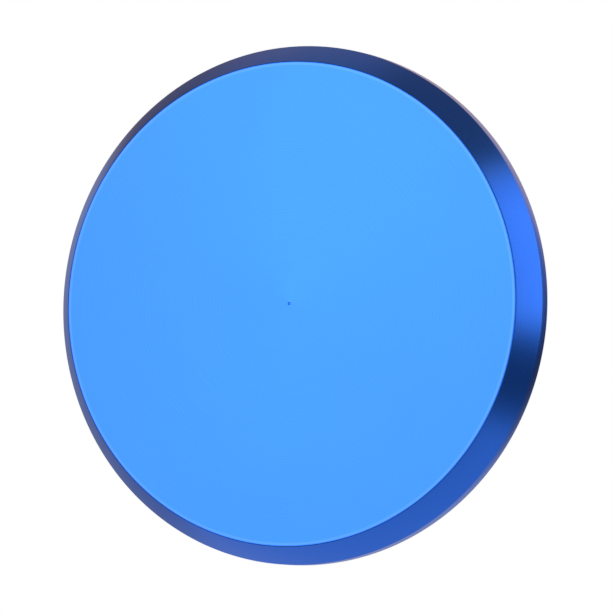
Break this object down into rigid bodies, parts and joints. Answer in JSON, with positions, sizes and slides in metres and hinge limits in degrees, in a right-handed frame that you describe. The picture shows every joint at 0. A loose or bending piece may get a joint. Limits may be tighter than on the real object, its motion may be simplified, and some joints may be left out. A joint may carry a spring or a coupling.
{
  "type": "disc air stone",
  "caption": "Flat round air diffuser: anodised aluminium dish with a closed face, porous ceramic plate, screwed clamp ring and central hose barb.",
  "frame": {"origin": "centre of the closed flat face, which the air stone rests on", "axes": "+Z is the axis of the disc, from the closed face up through the porous plate and the inlet; +X and +Y are alike"},
  "size_m": [0.1, 0.1, 0.0329],
  "materials": {
    "housing_anodised": "turned and satin blue anodised",
    "ring_anodised": "turned and satin blue anodised",
    "porous_ceramic": "matte, finely porous",
    "gasket_rubber": "matte",
    "slip_plastic": "matte white slip ring",
    "stainless": "turned stainless steel"
  },
  "bodies": {
    "housing": {"base_housing": "housing_anodised", "outer_lower_gasket": "gasket_rubber", "centre_lower_gasket": "gasket_rubber", "ceramic_plate": "porous_ceramic", "outer_upper_gasket": "gasket_rubber", "centre_upper_gasket": "gasket_rubber"},
    "slip_ring": {"slip_ring": "slip_plastic"},
    "clamp_ring": {"clamp_ring": "ring_anodised"},
    "centre_washer": {"centre_washer": "stainless"},
    "inlet_stem": {"inlet_stem": "stainless", "stem_o_ring": "gasket_rubber"}
  },
  "joints": [
    {"name": "ring_lift", "type": "slide", "parent": "housing", "child": "slip_ring", "axis": [0, 0, 1], "range_m": [0, 0.003]},
    {"name": "ring_unscrew", "type": "hinge", "parent": "slip_ring", "child": "clamp_ring", "pos_m": [0, 0, 0.0131], "axis": [0, 0, 1], "range_deg": [0, 1080]},
    {"name": "stem_lift", "type": "slide", "parent": "housing", "child": "centre_washer", "axis": [0, 0, 1], "range_m": [0, 0.003]},
    {"name": "stem_unscrew", "type": "hinge", "parent": "centre_washer", "child": "inlet_stem", "pos_m": [0, 0, 0.0138], "axis": [0, 0, 1], "range_deg": [0, 1080]}
  ],
  "couplings": [
    {"joint": "ring_lift", "follows": "ring_unscrew", "m_per_rad": 0.00015915},
    {"joint": "stem_lift", "follows": "stem_unscrew", "m_per_rad": 0.00015915}
  ]
}
